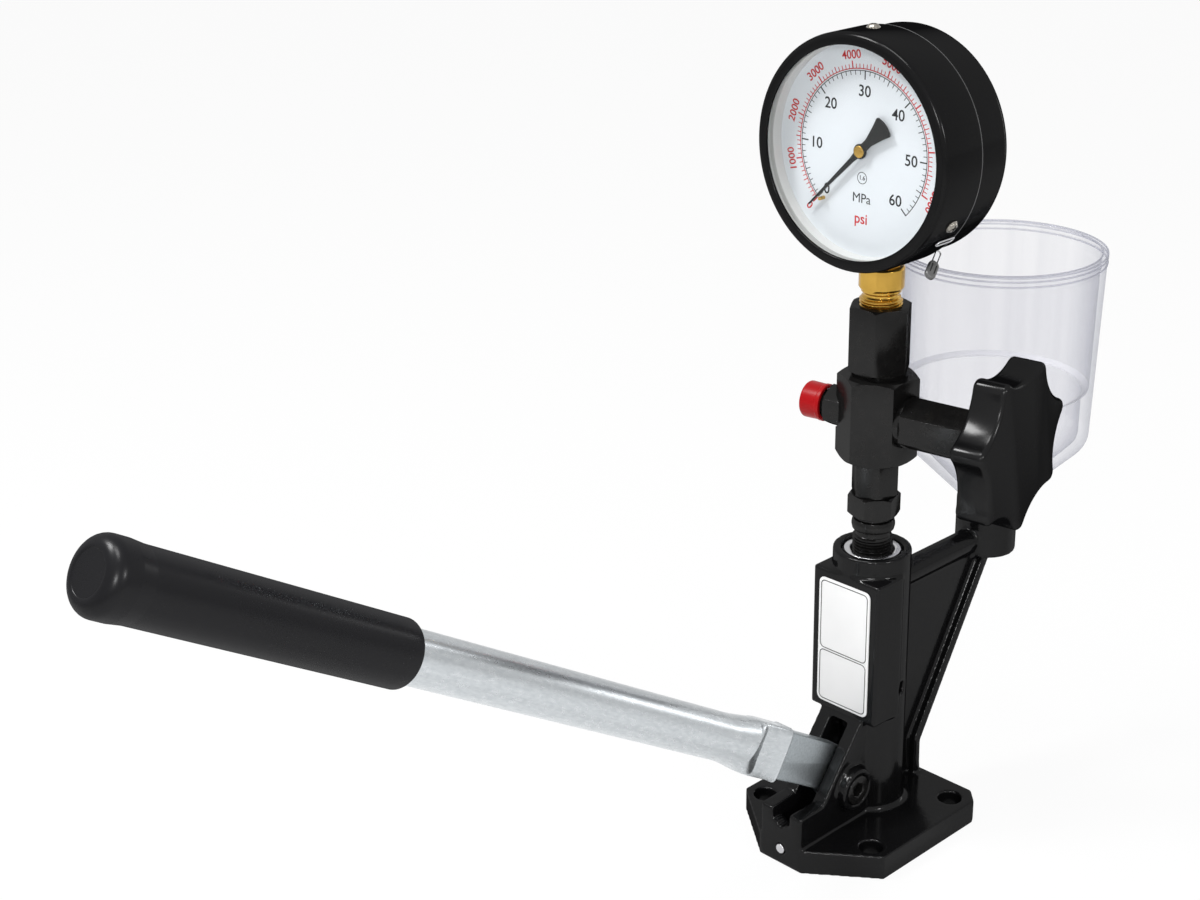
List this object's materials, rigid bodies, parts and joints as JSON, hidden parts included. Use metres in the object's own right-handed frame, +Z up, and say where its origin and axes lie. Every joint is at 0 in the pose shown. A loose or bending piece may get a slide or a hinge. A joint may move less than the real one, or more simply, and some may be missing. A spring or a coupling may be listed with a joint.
{
  "type": "diesel injector tester",
  "caption": "Hand-pumped bench tester for diesel injectors: cast pump body with a long lever, valve block with star knob, round pressure gauge and clear oil cup.",
  "frame": {"origin": "centre of the four-bolt pattern on the underside of the base", "axes": "+Z up, -Y to the front where the lever and the dial point, +X right to the valve knob, +Y back to the oil cup"},
  "size_m": [0.1271, 0.5317, 0.3812],
  "materials": {
    "black_paint": "gloss black paint on a casting",
    "black_steel": "blackened turned steel",
    "bright_steel": "bright turned steel",
    "zinc": "bluish bright zinc plate",
    "spring_steel": "oiled spring wire",
    "brass": "turned brass",
    "copper": "soft copper",
    "rubber": "matt black rubber",
    "knob_plastic": "gloss black moulded plastic",
    "cap_plastic": "red moulded plastic",
    "clear_plastic": "clear moulded plastic",
    "glass": "plain window glass",
    "dial_paint": "white enamel",
    "pointer_paint": "black enamel",
    "label": "blank white film",
    "lead": "dull grey lead"
  },
  "bodies": {
    "frame": {"pump_body": "black_paint", "gauge_case": "black_paint", "gauge_bezel": "black_paint", "gallery_plug": "black_steel", "pivot_bolt": "black_steel", "pivot_nut": "black_steel", "delivery_connector": "black_steel", "lock_nut": "black_steel", "block_union": "black_steel", "valve_block": "black_steel", "outlet_nipple": "black_steel", "valve_bonnet": "black_steel", "gauge_adapter": "black_steel", "front_plug": "bright_steel", "clamp_ring": "bright_steel", "upper_spring_seat": "bright_steel", "barrel": "bright_steel", "delivery_seat": "bright_steel", "bezel_screws": "bright_steel", "movement_link": "bright_steel", "seal_wire": "bright_steel", "plunger_spring": "spring_steel", "delivery_spring": "spring_steel", "gauge_socket": "brass", "stop_pin": "brass", "movement_plates": "brass", "bourdon_tube": "brass", "barrel_gasket": "copper", "adapter_washer": "copper", "stem_seal": "rubber", "cup_seal": "rubber", "oil_cup": "clear_plastic", "gauge_glass": "glass", "gauge_dial": "dial_paint", "label_plate": "label", "lead_seal": "lead"},
    "lever": {"lever_tongue": "zinc", "pivot_bush": "brass", "lever_tube": "zinc", "lever_grip": "rubber"},
    "plunger_stack": {"plunger": "bright_steel", "tappet": "bright_steel", "spring_seat": "bright_steel"},
    "delivery_poppet": {"delivery_valve": "bright_steel"},
    "needle": {"valve_needle": "bright_steel"},
    "knob_spindle": {"knob": "knob_plastic", "valve_spindle": "black_steel"},
    "cap": {"outlet_cap": "cap_plastic"},
    "pointer": {"pointer": "pointer_paint", "pointer_arbor": "brass"},
    "sector": {"sector_gear": "brass"}
  },
  "joints": [
    {"name": "lever_hinge", "type": "hinge", "parent": "frame", "child": "lever", "pos_m": [0, -0.0205, 0.03115], "axis": [1, 0, 0], "range_deg": [0, 35]},
    {"name": "plunger_slide", "type": "slide", "parent": "frame", "child": "plunger_stack", "axis": [0, 0, 1], "range_m": [0, 0.0157], "deforming": ["plunger_spring"]},
    {"name": "delivery_lift", "type": "slide", "parent": "frame", "child": "delivery_poppet", "axis": [0, 0, 1], "range_m": [0, 0.0012], "deforming": ["delivery_spring"]},
    {"name": "needle_slide", "type": "slide", "parent": "frame", "child": "needle", "axis": [0.9903, 0.1392, 0], "range_m": [0, 0.003]},
    {"name": "knob_turn", "type": "hinge", "parent": "needle", "child": "knob_spindle", "pos_m": [0.04951, 0.01196, 0.2065], "axis": [0.9903, 0.1392, 0], "range_deg": [0, 720]},
    {"name": "cap_pull", "type": "slide", "parent": "frame", "child": "cap", "axis": [-0.9903, -0.1392, 0], "range_m": [0, 0.012]},
    {"name": "pointer_turn", "type": "hinge", "parent": "frame", "child": "pointer", "pos_m": [0, -0.0116, 0.3289], "axis": [0, 1, 0], "range_deg": [0, 270]},
    {"name": "sector_turn", "type": "hinge", "parent": "frame", "child": "sector", "pos_m": [0, -0.0021, 0.3039], "axis": [0, 1, 0], "range_deg": [-30.01, 0]}
  ],
  "couplings": [
    {"joint": "plunger_slide", "follows": "lever_hinge", "m_per_rad": 0.0256},
    {"joint": "needle_slide", "follows": "knob_turn", "m_per_rad": 0.00023873},
    {"joint": "sector_turn", "follows": "pointer_turn", "ratio": -0.11111}
  ]
}
